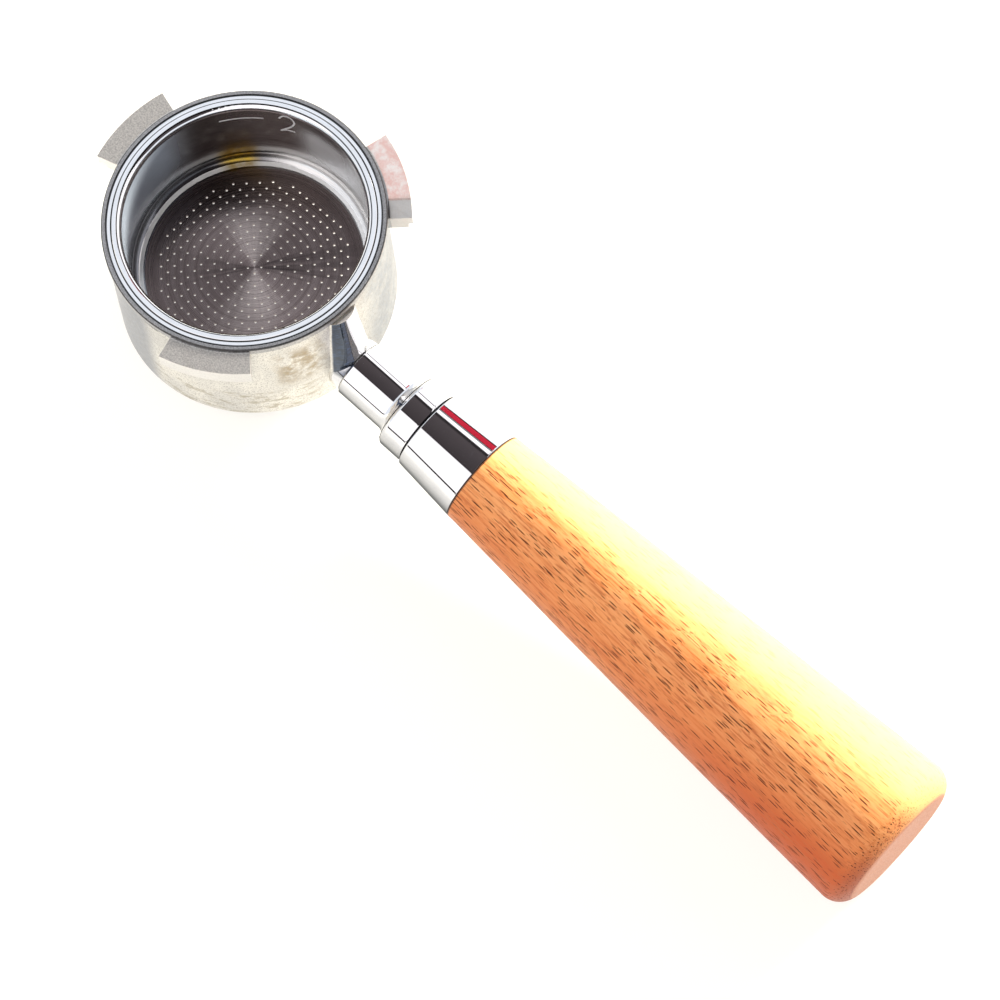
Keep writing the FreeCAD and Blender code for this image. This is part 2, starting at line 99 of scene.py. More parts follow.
class Graph:
    """A node tree, emptied and then built up node by node. Lengths are in millimetres."""

    def __init__(self, tree):
        self.tree = tree
        self.tree.nodes.clear()

    def link(self, source, target):
        self.tree.links.new(source, target)

    def node(self, kind, **settings):
        item = self.tree.nodes.new(kind)
        for key, value in settings.items():
            setattr(item, key, value)
        return item

    def feed(self, socket, value):
        """Link another node's output to a socket, or set the socket to a plain value."""
        if hasattr(value, "links"):
            self.link(value, socket)
        else:
            socket.default_value = value

    def math(self, operation, first, second=0.0):
        item = self.node("ShaderNodeMath", operation=operation)
        self.feed(item.inputs[0], first)
        self.feed(item.inputs[1], second)
        return item.outputs[0]

    def chain(self, operation, values):
        """One operation carried through several values."""
        result = values[0]
        for value in values[1:]:
            result = self.math(operation, result, value)
        return result

    def times(self, *values):
        return self.chain("MULTIPLY", values)

    def plus(self, *values):
        return self.chain("ADD", values)

    def most(self, *values):
        return self.chain("MAXIMUM", values)

    def degrees(self, angle):
        return self.times(angle, 180.0 / math.pi)

    def ramp(self, value, low, high, first=0.0, last=1.0, smooth=True):
        """Map low..high to first..last, held at the ends."""
        kind = "SMOOTHSTEP" if smooth else "LINEAR"
        item = self.node("ShaderNodeMapRange", interpolation_type=kind)
        self.feed(item.inputs["Value"], value)
        for key, number in (("From Min", low), ("From Max", high), ("To Min", first), ("To Max", last)):
            self.feed(item.inputs[key], number)
        return item.outputs["Result"]

    def band(self, value, start, end, soft):
        """One between start and end, fading to nothing over the soft width outside them."""
        return self.times(self.ramp(value, start - soft, start), self.ramp(value, end, end + soft, 1.0, 0.0))

    def stops(self, value, places):
        """A colour ramp through (position, colour) pairs, the positions from 0 to 1."""
        item = self.node("ShaderNodeValToRGB")
        elements = item.color_ramp.elements
        while len(elements) < len(places):
            elements.new(1.0)
        for element, place in zip(elements, places):
            element.position = place[0]
        for element, place in zip(elements, places):
            element.color = self.rgba(place[1])
        self.feed(item.inputs[0], value)
        return item.outputs[0]

    def rgba(self, value):
        """Add the alpha that a colour socket wants to a plain colour."""
        if hasattr(value, "__len__") and len(value) == 3:
            return (*value, 1.0)
        return value

    def is_colour(self, value):
        """Whether a value is a colour's numbers or the colour output of another node."""
        return hasattr(value, "__len__") or (hasattr(value, "links") and value.type == "RGBA")

    def mix(self, factor, first, second):
        """Blend two colours or two numbers."""
        colour = self.is_colour(first) or self.is_colour(second)
        item = self.node("ShaderNodeMix", data_type="RGBA" if colour else "FLOAT")
        start, end, result = (6, 7, 2) if colour else (2, 3, 0)
        self.feed(item.inputs[0], factor)
        self.feed(item.inputs[start], self.rgba(first) if colour else first)
        self.feed(item.inputs[end], self.rgba(second) if colour else second)
        return item.outputs[result]

    def split(self, vector):
        parts = self.node("ShaderNodeSeparateXYZ")
        self.link(vector, parts.inputs[0])
        return parts.outputs[0], parts.outputs[1], parts.outputs[2]

    def join(self, x, y, z):
        parts = self.node("ShaderNodeCombineXYZ")
        for socket, value in zip(parts.inputs, (x, y, z)):
            self.feed(socket, value)
        return parts.outputs[0]

    def round_radius(self, x, y):
        """Distance from the Z axis."""
        return self.math("SQRT", self.plus(self.times(x, x), self.times(y, y)))

    def along(self, origin, direction):
        """Distance from an origin along a direction, in object coordinates."""
        where = self.node("ShaderNodeTexCoord").outputs["Object"]
        offset = self.node("ShaderNodeVectorMath", operation="SUBTRACT")
        self.link(where, offset.inputs[0])
        offset.inputs[1].default_value = origin
        dot = self.node("ShaderNodeVectorMath", operation="DOT_PRODUCT")
        self.link(offset.outputs[0], dot.inputs[0])
        dot.inputs[1].default_value = direction
        return self.math("DIVIDE", dot.outputs["Value"], MM)

    def local(self, origin, turn=0.0):
        """Object coordinates from an origin and a turn about Y."""
        where = self.node("ShaderNodeTexCoord").outputs["Object"]
        moved = self.node("ShaderNodeMapping", vector_type="TEXTURE")
        moved.inputs["Location"].default_value = origin
        moved.inputs["Rotation"].default_value = (0.0, turn, 0.0)
        moved.inputs["Scale"].default_value = (MM, MM, MM)
        self.link(where, moved.inputs["Vector"])
        return moved.outputs[0]

    def normal(self):
        """The surface's normal as x, y and z."""
        return self.split(self.node("ShaderNodeNewGeometry").outputs["Normal"])

    def tilt(self):
        """The normal's slope in radians, seen along X: zero faces -Y and a quarter turn faces up."""
        _, y, z = self.normal()
        return self.math("ARCTAN2", z, self.times(y, -1.0))

    def noise(self, vector, size, detail=3.0, rough=0.55, stretch=(1.0, 1.0, 1.0)):
        """Noise whose blobs are about one size across, longer where the stretch is more than 1."""
        scaled = self.node("ShaderNodeMapping")
        scaled.inputs["Scale"].default_value = [1.0 / (size * factor) for factor in stretch]
        self.link(vector, scaled.inputs["Vector"])
        item = self.node("ShaderNodeTexNoise")
        item.inputs["Scale"].default_value = 1.0
        item.inputs["Detail"].default_value = detail
        item.inputs["Roughness"].default_value = rough
        self.link(scaled.outputs[0], item.inputs["Vector"])
        return item.outputs["Fac"]

    def cells(self, vector, length, width):
        """Distance, in cells, to the nearest of many scattered points, one to a long cell."""
        scaled = self.node("ShaderNodeMapping")
        scaled.inputs["Scale"].default_value = (1.0 / length, 1.0 / width, 1.0 / width)
        self.link(vector, scaled.inputs["Vector"])
        item = self.node("ShaderNodeTexVoronoi")
        item.inputs["Scale"].default_value = 1.0
        self.link(scaled.outputs[0], item.inputs["Vector"])
        return item.outputs["Distance"]

    def bump(self, height, depth, strength):
        """A bump of the given depth."""
        item = self.node("ShaderNodeBump")
        self.feed(item.inputs["Strength"], strength)
        item.inputs["Distance"].default_value = depth * MM
        self.link(height, item.inputs["Height"])
        return item.outputs[0]


class Shader(Graph):
    """A material with one Principled surface, whose inputs are set one by one.

    The functions that paint a piece take the shader they work on as s.
    """

    def __init__(self, name):
        self.material = bpy.data.materials.new(name)
        self.material.use_nodes = True
        super().__init__(self.material.node_tree)
        output = self.node("ShaderNodeOutputMaterial")
        self.surface = self.node("ShaderNodeBsdfPrincipled")
        self.link(self.surface.outputs[0], output.inputs[0])

    def set(self, name, value):
        self.feed(self.surface.inputs[name], value)


# ------------------------------------------------------------------------------------ the ring


def ring_zones(s):
    """Where a point lies on the ring, with masks of the rim, the lugs and the boss.

    Azimuths are in degrees about the ring's axis, from the side of the handle.
    """
    zone = SimpleNamespace(place=s.local(RIM, LEAN))
    zone.x, zone.y, zone.z = s.split(zone.place)
    zone.radius = s.round_radius(zone.x, zone.y)
    zone.aside = s.math("ABSOLUTE", zone.y)
    zone.azimuth = s.degrees(s.math("ARCTAN2", zone.y, zone.x))
    zone.lug = s.ramp(zone.radius, RING_RADIUS + 0.3, RING_RADIUS + 0.5)
    zone.rim = s.times(s.ramp(zone.z, -RIM_BAND - 0.1, -RIM_BAND + 0.1),
                       s.ramp(zone.radius, RING_RADIUS + 0.3, RING_RADIUS + 0.1))
    zone.boss = s.times(s.ramp(zone.x, BOSS_START, BOSS_START + 0.6),
                        s.ramp(zone.aside, BOSS_REACH - 0.3, BOSS_REACH + 0.3, 1.0, 0.0),
                        s.ramp(zone.z, -BOSS_DROP - 0.02, -BOSS_DROP - 0.08),
                        s.ramp(zone.radius, RING_RADIUS - 0.25, RING_RADIUS - 0.1))
    return zone


def stain_and_shade_ring(s, zone, colour, blotch):
    """Painted shade on the wall from 20° to 48°, the brown stain beside the boss, smears at the foot and a darker,
    bluer band from -140° to -96°.
    """
    slate = (0.25, 0.30, 0.37)
    brown = (0.33, 0.24, 0.12)
    ochre = (0.40, 0.34, 0.22)
    dull_blue = (0.30, 0.32, 0.36)
    # Painted shade: slate on the wall from 20° to 48°, the side the key light falls on.
    shade_side = s.times(s.band(zone.azimuth, 20.0, 48.0, 22.0), s.ramp(blotch, 0.35, 0.65, 0.45, 0.75))
    stain = s.times(s.band(zone.azimuth, -30.0, -19.0, 9.0), s.band(zone.z, -17.0, -9.0, 6.0),
                    s.ramp(blotch, 0.36, 0.60), 0.85)
    wiped = s.noise(zone.place, 2.2, 5.0, 0.7, (2.0, 2.0, 0.6))
    smear = s.times(s.band(zone.z, -31.0, -24.0, 3.0), s.band(zone.azimuth, -85.0, -25.0, 12.0),
                    s.ramp(wiped, 0.5, 0.62), 0.7)
    edge = s.times(s.band(zone.azimuth, -140.0, -96.0, 10.0), 0.8)
    for mask, paint in ((shade_side, slate), (stain, brown), (smear, ochre), (edge, dull_blue)):
        colour = s.mix(mask, colour, paint)
    return colour


def shade_undercut(s, zone, colour):
    """Painted shadow in the undercut below the rim, all round but for the boss."""
    shadow_black = (0.05, 0.05, 0.05)
    clear_of_boss = s.most(s.ramp(zone.x, BOSS_START, BOSS_START - 1.0),
                           s.ramp(zone.aside, BOSS_PAD - 0.3, BOSS_PAD + 0.3))
    undercut = s.times(s.band(zone.z, -RIM_BAND - 0.65, -RIM_BAND, 0.25),
                       s.ramp(zone.radius, RING_RADIUS - 0.1, RING_RADIUS - 0.2), clear_of_boss, 0.9)
    return s.mix(undercut, colour, shadow_black)


def rim_colour(s, zone, speck):
    """The rim's speckled top, with painted shade as a dark line in the crease along its outer corner."""
    light_grey = (0.55, 0.54, 0.53)
    dark_grey = (0.36, 0.35, 0.34)
    black = (0.03, 0.03, 0.03)
    top = s.mix(s.ramp(speck, 0.35, 0.65), light_grey, dark_grey)
    # Painted shade: a near-black line in the crease at the rim's outer corner.
    crease_shade = s.times(s.band(zone.radius, RING_RADIUS - 0.2, RING_RADIUS + 0.2, 0.05),
                     s.band(zone.z, -0.45, 0.1, 0.1), 0.85)
    return s.mix(crease_shade, top, black)


def paint_lugs(s, zone, colour, speck, blotch):
    """Grey cast tops on the lugs, with a rosy blush on the one at the right."""
    bare = (0.86, 0.84, 0.80)
    cast = s.mix(s.ramp(speck, 0.3, 0.7), (0.60, 0.57, 0.52), (0.36, 0.335, 0.31))
    rosy = s.mix(s.ramp(blotch, 0.35, 0.6), (1.0, 0.92, 0.88), (0.90, 0.58, 0.52))
    top = s.times(zone.lug, s.band(zone.z, -LUG_DROP - 0.1, -LUG_DROP + 0.15, 0.05))
    blush = s.times(top, s.band(zone.azimuth, 53.0, 80.0, 6.0), 0.8)
    colour = s.mix(s.times(zone.lug, 0.7), colour, bare)
    colour = s.mix(s.times(top, 0.92), colour, cast)
    return s.mix(blush, colour, rosy)


def paint_boss(s, zone, colour):
    """The polished boss, with a painted reflection, blue-black with streaks, on its flank towards -Y."""
    polished = (0.88, 0.88, 0.88)
    blue_black = (0.012, 0.02, 0.035)
    deep_blue = (0.05, 0.09, 0.17)
    x, y, _ = s.normal()
    heading = s.degrees(s.math("ARCTAN2", y, x))
    # Painted reflection: blue-black streaks on the boss where its normal heads between -89° and -16°.
    flank = s.times(zone.boss, s.ramp(zone.z, -24.0, -23.0), s.band(heading, -89.0, -16.0, 2.0), 0.97)
    streaks = s.ramp(s.noise(zone.place, 1.2, 2.0, 0.5, (1.0, 1.0, 0.1)), 0.45, 0.7)
    colour = s.mix(zone.boss, colour, polished)
    return s.mix(flank, colour, s.mix(streaks, blue_black, deep_blue))


def finish_ring(s, zone, speck, grain):
    """Satin wall, rougher lugs, smoother rim, mirror boss, and a blasted grain but for the boss."""
    s.set("Metallic", s.mix(zone.lug, 1.0, 0.85))
    rough = s.ramp(grain, 0.3, 0.7, 0.30, 0.46)
    rough = s.mix(zone.lug, rough, s.ramp(grain, 0.3, 0.7, 0.42, 0.6))
    rough = s.mix(zone.rim, rough, 0.34)
    rough = s.mix(zone.boss, rough, 0.05)
    s.set("Roughness", rough)
    s.set("Normal", s.bump(speck, 0.03, s.mix(zone.boss, 0.55, 0.0)))


def ring_material():
    """Blasted casting: warm satin wall, turned rim, rougher lugs, polished boss."""
    warm_grey = (0.72, 0.70, 0.65)
    cream = (0.90, 0.87, 0.79)
    pitted = (0.40, 0.37, 0.33)
    s = Shader("ring_metal")
    zone = ring_zones(s)
    cloud = s.noise(zone.place, 14.0, 4.0, 0.6)
    blotch = s.noise(zone.place, 3.5, 5.0, 0.65)
    speck = s.noise(zone.place, 0.35, 2.0, 0.7)
    grain = s.noise(zone.place, 0.9, 4.0, 0.7)
    colour = s.mix(s.ramp(cloud, 0.35, 0.65), warm_grey, cream)
    colour = stain_and_shade_ring(s, zone, colour, blotch)
    colour = s.mix(s.ramp(speck, 0.45, 0.7, 0.0, 0.75), colour, pitted)
    colour = shade_undercut(s, zone, colour)
    colour = s.mix(zone.rim, colour, rim_colour(s, zone, speck))
    colour = paint_lugs(s, zone, colour, speck, blotch)
    s.set("Base Color", paint_boss(s, zone, colour))
    finish_ring(s, zone, speck, grain)
    return s.material


# ---------------------------------------------------------------------------------- the basket


def basket_zones(s):
    """Where a point lies on the basket, with masks of the floor and the rim, and its textures."""
    zone = SimpleNamespace(place=s.local(RIM, LEAN))
    zone.x, zone.y, zone.z = s.split(zone.place)
    zone.radius = s.round_radius(zone.x, zone.y)
    zone.angle = s.math("ARCTAN2", zone.y, zone.x)
    zone.azimuth = s.degrees(zone.angle)
    zone.floor = s.times(s.ramp(zone.z, -CHAMBER_DEPTH + 0.3, -CHAMBER_DEPTH + 0.1),
                         s.ramp(zone.radius, FLOOR_RADIUS - 0.1, FLOOR_RADIUS - 0.3))
    zone.rim = s.ramp(zone.z, -1.4, -1.0)
    zone.circles = s.noise(s.join(zone.radius, 0.0, 0.0), 0.32, 3.0, 0.75)
    zone.hoop = s.noise(s.join(0.0, s.times(zone.angle, 0.6), zone.z), 0.5, 3.0, 0.7)
    zone.soil = s.noise(zone.place, 6.0, 5.0, 0.65)
    return zone


def light_fan(s, zone):
    """A ragged wave of two crests and two troughs round the middle of the floor."""
    crest = math.radians(134.0)
    spokes = s.noise(s.join(s.times(zone.angle, 5.0), s.times(zone.radius, 0.02), 0.0), 0.5, 2.0, 0.6)
    wave = s.math("COSINE", s.times(s.math("SUBTRACT", zone.angle, crest), 2.0))
    return s.plus(wave, s.times(s.math("SUBTRACT", spokes, 0.5), 1.2))


def floor_colour(s, zone):
    """Turning marks on the basket's floor, with a fan of light and shade about the middle."""
    umber = (0.12, 0.090, 0.086)
    taupe = (0.27, 0.215, 0.205)
    pale_taupe = (0.34, 0.28, 0.27)
    gleam = (0.66, 0.57, 0.53)
    near_black = (0.04, 0.032, 0.032)
    wide = s.noise(s.join(zone.radius, 0.0, 3.0), 1.6, 2.0, 0.6)
    turned = s.mix(s.ramp(zone.circles, 0.3, 0.7), umber, taupe)
    turned = s.mix(s.ramp(wide, 0.4, 0.65, 0.0, 0.35), turned, pale_taupe)
    fan = light_fan(s, zone)
    lit = s.times(s.ramp(fan, 0.0, 1.2), s.ramp(zone.circles, 0.38, 0.62, 0.35, 1.0))
    ragged_radius = s.plus(zone.radius, s.times(zone.soil, 6.0))
    middle = s.ramp(ragged_radius, 11.0, 19.0, 0.85, 0.12)
    front = s.times(s.band(zone.azimuth, -112.0, -40.0, 25.0), 0.45)
    shade = s.times(s.ramp(fan, -0.75, -1.15), s.ramp(zone.radius, 2.0, 20.0, 0.85, 0.3),
                    s.ramp(zone.x, -12.0, 6.0, 0.35, 1.0))
    turned = s.mix(s.times(lit, s.most(middle, front)), turned, gleam)
    return s.mix(shade, turned, near_black)


def wall_zones(s, zone):
    """Masks of painted light on the wall: a bluish reflection on its left, a highlight at the back, a highlight
    line at its foot and an amber reflection.

    The drawn corner above the foot has painted shade, but for a painted bright crescent of reflection at the back.
    """
    left = s.most(s.band(zone.azimuth, -180.0, -105.0, 25.0), s.ramp(zone.azimuth, 155.0, 180.0))
    corner = s.band(zone.z, -FOOT_DEPTH + 0.15, -SHOULDER_DEPTH + 0.3, 0.3)
    return SimpleNamespace(
        left=s.times(left, s.ramp(zone.z, -22.0, -12.0, 0.4, 0.8)),
        sheen=s.times(s.band(zone.azimuth, 88.0, 98.0, 18.0), s.band(zone.z, -15.0, -8.0, 6.0)),
        corner=corner,
        crescent=s.times(corner, s.band(zone.azimuth, 50.0, 112.0, 22.0)),
        foot=s.times(s.band(zone.z, -FOOT_DEPTH - 0.1, -FOOT_DEPTH + 0.05, 0.04),
                     s.ramp(zone.radius, FOOT_RADIUS + 0.3, FOOT_RADIUS + 0.1)),
        amber=s.times(s.band(zone.azimuth, 138.0, 145.0, 9.0), s.ramp(zone.z, -7.0, -20.0, 0.0, 0.85),
                      s.ramp(zone.soil, 0.35, 0.62, 0.35, 1.0)),
    )


def wall_colour(s, zone, on_wall):
    """The drawn wall, with random mottling and then painted reflections, highlights and shade, mask by mask."""
    drawn = s.mix(s.ramp(zone.hoop, 0.3, 0.7), (0.29, 0.275, 0.265), (0.38, 0.365, 0.355))
    coats = (
        (s.ramp(zone.soil, 0.45, 0.7, 0.0, 0.25), (0.30, 0.28, 0.27)),
        # Painted light and shade from here: a bluish reflection, a highlight, shade in the corner, a crescent of
        # reflection, a highlight line at the foot and an amber reflection.
        (on_wall.left, (0.50, 0.58, 0.68)),
        (s.times(on_wall.sheen, 0.7), (0.70, 0.69, 0.68)),
        (s.times(on_wall.corner, 0.7), (0.09, 0.09, 0.10)),
        (on_wall.crescent, (0.86, 0.84, 0.82)),
        (on_wall.foot, (0.96, 0.95, 0.94)),
        (on_wall.amber, (0.42, 0.27, 0.012)),
    )
    for mask, paint in coats:
        drawn = s.mix(mask, drawn, paint)
    return drawn


def painted_light_matte_share(s, zone, on_wall):
    """How far the wall scatters light like a dull surface, from none to all: most where its painted reflections
    and highlights lie, so that they show.
    """
    painted_matte = s.times(s.most(on_wall.left, on_wall.sheen), s.ramp(zone.z, -23.0, -21.5))
    painted_matte = s.most(painted_matte, s.times(on_wall.crescent, 0.7), on_wall.foot)
    below_rim = s.ramp(zone.z, -1.4, -2.2)
    return s.times(painted_matte, below_rim)


def flange_colour(s, zone, colour):
    """The polished flange and bead, with painted shade as dark lines where they step down."""
    black = (0.01, 0.01, 0.012)
    bright = s.mix(s.ramp(zone.soil, 0.4, 0.7, 0.0, 0.3), (0.93, 0.93, 0.93), (0.78, 0.79, 0.80))
    # Painted shade: near-black lines either side of the bead and inside the flange's outer edge.
    outside_bead = s.band(zone.radius, CREST_OUTER + 0.10, CREST_OUTER + 0.32, 0.06)
    inside_bead = s.band(zone.radius, CREST_INNER - 0.28, CREST_INNER - 0.10, 0.06)
    edge = s.ramp(zone.radius, FLANGE_RADIUS - 0.29, FLANGE_RADIUS - 0.21)
    lines = s.times(s.most(outside_bead, edge, inside_bead), zone.rim, 0.96)
    return s.mix(lines, s.mix(zone.rim, colour, bright), black)


def turn_highlights(s, zone):
    """Stretch the highlights round the basket's axis, most on its turned floor."""
    s.set("Anisotropic", s.mix(zone.floor, 0.3, 0.85))
    tangent = s.join(s.times(zone.y, -1.0), zone.x, 0.0)
    leaned = s.node("ShaderNodeVectorRotate", rotation_type="Y_AXIS")
    s.link(tangent, leaned.inputs["Vector"])
    leaned.inputs["Angle"].default_value = LEAN
    world = s.node("ShaderNodeVectorTransform", vector_type="VECTOR")
    world.convert_from = "OBJECT"
    world.convert_to = "WORLD"
    s.link(leaned.outputs[0], world.inputs[0])
    s.set("Tangent", world.outputs[0])


def basket_material():
    """Pressed steel: polished rim, drawn wall, floor with turning marks."""
    s = Shader("basket_steel")
    zone = basket_zones(s)
    on_wall = wall_zones(s, zone)
    colour = s.mix(zone.floor, wall_colour(s, zone, on_wall), floor_colour(s, zone))
    s.set("Base Color", flange_colour(s, zone, colour))
    s.set("Metallic", s.ramp(painted_light_matte_share(s, zone, on_wall), 0.0, 0.8, 1.0, 0.45, smooth=False))
    wall_rough = s.ramp(zone.hoop, 0.3, 0.7, 0.12, 0.22)
    rough = s.mix(zone.floor, wall_rough, s.ramp(zone.circles, 0.3, 0.7, 0.22, 0.36))
    s.set("Roughness", s.mix(zone.rim, rough, 0.09))
    turn_highlights(s, zone)
    drawn = s.noise(s.join(s.times(zone.angle, 26.0), 0.0, s.times(zone.z, 0.04)), 0.45, 3.0, 0.7)
    s.set("Normal", s.bump(s.mix(zone.floor, drawn, zone.circles), 0.012, 0.6))
    return s.material


# ----------------------------------------------------------------------- the handle's materials


def chrome_material(name, start, end):
    """Bright plating with a faint haze, dust, hairlines along the turning, dark joints and painted shade on the
    underside.

    Start and end are the piece's stations in millimetres before the end of the wood.
    """
    plating = (0.92, 0.92, 0.925)
    dulled = (0.86, 0.86, 0.87)
    dusty = (0.70, 0.68, 0.66)
    underside_shade = (0.13, 0.14, 0.15)
    black = (0.01, 0.01, 0.012)
    s = Shader(name)
    place = s.local(RIM)
    station = s.along(HANDLE_END, HANDLE)
    haze = s.noise(place, 5.0, 4.0, 0.6)
    hair = s.noise(place, 0.5, 2.0, 0.6, (0.2, 6.0, 6.0))
    dust = s.noise(place, 0.25, 1.0, 0.5)
    colour = s.mix(s.ramp(haze, 0.4, 0.7), plating, dulled)
    colour = s.mix(s.ramp(dust, 0.72, 0.8, 0.0, 0.5), colour, dusty)
    # Painted shade: the underside, which faces the table, is darkened and its reflection dimmed.
    under = s.ramp(s.tilt(), math.radians(36.0), math.radians(-12.0), 0.0, 0.93)
    colour = s.mix(under, colour, underside_shade)
    s.set("Specular Tint", s.mix(under, (1.0, 1.0, 1.0), (0.15, 0.16, 0.17)))
    joint = s.most(s.ramp(station, -start + 0.1, -start + 0.22, 1.0, 0.0),
                   s.ramp(station, -end - 0.22, -end - 0.1))
    s.set("Base Color", s.mix(s.times(joint, 0.97), colour, black))
    s.set("Metallic", 1.0)
    s.set("Roughness", s.plus(s.ramp(haze, 0.35, 0.7, 0.02, 0.06), s.ramp(hair, 0.62, 0.75, 0.0, 0.08)))
    s.set("Normal", s.bump(hair, 0.001, 0.3))
    return s.material


def plain_metal(name, light, dark, rough, grain_size):
    """Turned or drawn metal with streaks along X and tarnish."""
    s = Shader(name)
    place = s.local(RIM)
    streak = s.noise(place, grain_size, 3.0, 0.6, (5.0, 1.0, 1.0))
    cloud = s.noise(place, 4.0, 4.0, 0.6)
    s.set("Base Color", s.mix(s.ramp(cloud, 0.35, 0.7), light, dark))
    s.set("Metallic", 1.0)
    s.set("Roughness", s.ramp(streak, 0.3, 0.7, rough, rough + 0.18))
    s.set("Normal", s.bump(streak, 0.02, 0.5))
    return s.material


def wood_grain(s, place):
    """Colour from wavy growth bands, streaks and redder patches; also gives the streaks."""
    russet = (0.61, 0.205, 0.055)
    orange = (0.75, 0.305, 0.093)
    honey = (0.86, 0.45, 0.19)
    red_brown = (0.56, 0.17, 0.045)
    x, y, z = s.split(place)
    drift = s.noise(place, 18.0, 3.0, 0.5, (5.0, 1.0, 1.0))
    layer = s.plus(s.times(y, 0.55), s.times(z, 0.83), s.times(drift, 9.0))
    bands = s.noise(s.join(s.times(x, 0.004), 0.0, layer), 1.9, 2.0, 0.55)
    streaks = s.noise(place, 0.55, 4.0, 0.65, (40.0, 1.0, 1.0))
    cloud = s.noise(place, 30.0, 3.0, 0.5, (2.5, 1.0, 1.0))
    colour = s.mix(s.ramp(bands, 0.35, 0.65), russet, orange)
    colour = s.mix(s.ramp(streaks, 0.35, 0.7, 0.0, 0.45), colour, honey)
    colour = s.mix(s.ramp(cloud, 0.35, 0.7, 0.0, 0.4), colour, red_brown)
    return colour, streaks


def shade_low_flank(s, x, tilt, colour):
    """Painted shade: the flank towards -Y is darker and redder, more so towards the end."""
    side = s.ramp(tilt, math.radians(74.0), math.radians(20.0), 0.0, 0.74)
    side = s.times(side, s.ramp(x, 45.0, 118.0, 0.5, 1.5))
    brick = (0.44, 0.082, 0.018)
    return s.mix(side, colour, brick)


def draw_lines(s, place, streaks, colour):
    """Thin dark lines of the grain."""
    lines = s.noise(place, 0.42, 2.0, 0.6, (40.0, 1.0, 1.0))
    dark = s.most(s.ramp(streaks, 0.46, 0.34, 0.0, 0.45), s.ramp(lines, 0.47, 0.35, 0.0, 0.75))
    chestnut = (0.40, 0.10, 0.028)
    return s.mix(dark, colour, chestnut)


def paint_back_highlight(s, tilt, colour):
    """Painted highlight: the flank towards +Y is paled to straw; also gives the share of the pores that still
    shows there.
    """
    straw = (0.90, 0.46, 0.165)
    brightest_highlight = 0.8
    highlight_share = s.ramp(tilt, math.radians(84.0), math.radians(112.0), 0.0, brightest_highlight)
    shown = s.ramp(highlight_share, 0.0, brightest_highlight, 0.95, 0.3, smooth=False)
    return s.mix(highlight_share, colour, straw), shown


def wood_pores(s, place):
    """Long and short pores along the grain."""
    large = s.ramp(s.cells(place, 8.6, 0.46), 0.30, 0.22)
    small = s.ramp(s.cells(place, 4.6, 0.30), 0.24, 0.12, 0.0, 0.5)
    return s.most(large, small)


def end_grain(s, y, z):
    """The dotted pink-brown flat at the end."""
    dots = s.noise(s.join(0.0, y, z), 0.5, 3.0, 0.6)
    return s.mix(s.ramp(dots, 0.35, 0.7), (0.58, 0.23, 0.11), (0.46, 0.155, 0.07))


def wood_material():
    """Beech: straight grain along the handle, short dark pores, dotted end grain."""
    dark_brown = (0.34, 0.075, 0.022)
    pore_black = (0.07, 0.014, 0.004)
    joint_black = (0.03, 0.015, 0.01)
    s = Shader("beech")
    low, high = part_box("wood_handle")
    place = s.local(Vector((low.x, 0.0, (low.z + high.z) / 2)))
    x, y, z = s.split(place)
    tilt = s.tilt()
    endwise = s.math("ABSOLUTE", s.normal()[0])
    flat_end = s.ramp(endwise, 0.93, 0.98)
    # Painted shade: dark brown on the lower side of the rounded end.
    end_shade = s.times(s.ramp(endwise, 0.15, 0.75, 0.0, 0.7),
                       s.ramp(tilt, math.radians(80.0), math.radians(35.0)))
    pores = s.times(wood_pores(s, place), s.math("SUBTRACT", 1.0, flat_end))
    joint = s.ramp(s.along(HANDLE_END, HANDLE), -WOOD_START + 0.15, -WOOD_START + 0.45, 0.92, 0.0)
    colour, streaks = wood_grain(s, place)
    colour = shade_low_flank(s, x, tilt, colour)
    colour = draw_lines(s, place, streaks, colour)
    colour, shown = paint_back_highlight(s, tilt, colour)
    colour = s.mix(end_shade, colour, dark_brown)
    colour = s.mix(s.times(pores, shown), colour, pore_black)
    colour = s.mix(flat_end, colour, end_grain(s, y, z))
    s.set("Base Color", s.mix(joint, colour, joint_black))
    satin = s.mix(s.ramp(streaks, 0.3, 0.7), 0.36, 0.48)
    s.set("Roughness", s.mix(pores, satin, 0.7))
    s.set("Specular IOR Level", 0.25)
    s.set("Normal", s.bump(s.math("SUBTRACT", s.times(streaks, 0.35), pores), 0.05, 0.6))
    return s.material


def dress(node, material):
    """Give a CAD node its material, in all its slots."""
    slots = nodes[node].data.materials
    if not slots:
        slots.append(material)
    for index in range(len(slots)):
        slots[index] = material


# --------------------------------------------------------------------- marks inside the basket


def ribbon_section(before, here, after, width, proud):
    """Four corners of a ribbon's section, square to the way from the point before to the one after."""
    sunk = 0.02
    run = math.radians(after[0] - before[0]) * BORE_RADIUS
    rise = after[1] - before[1]
    length = math.hypot(run, rise)
    turn = math.degrees(-rise / length * width / 2 / BORE_RADIUS)
    lift = run / length * width / 2
    corners = []
    for side, radius in ((-1, BORE_RADIUS + sunk), (1, BORE_RADIUS + sunk),
                         (1, BORE_RADIUS - proud), (-1, BORE_RADIUS - proud)):
        corners.append(ring_point(radius, here[0] + side * turn, here[1] + side * lift))
    return corners


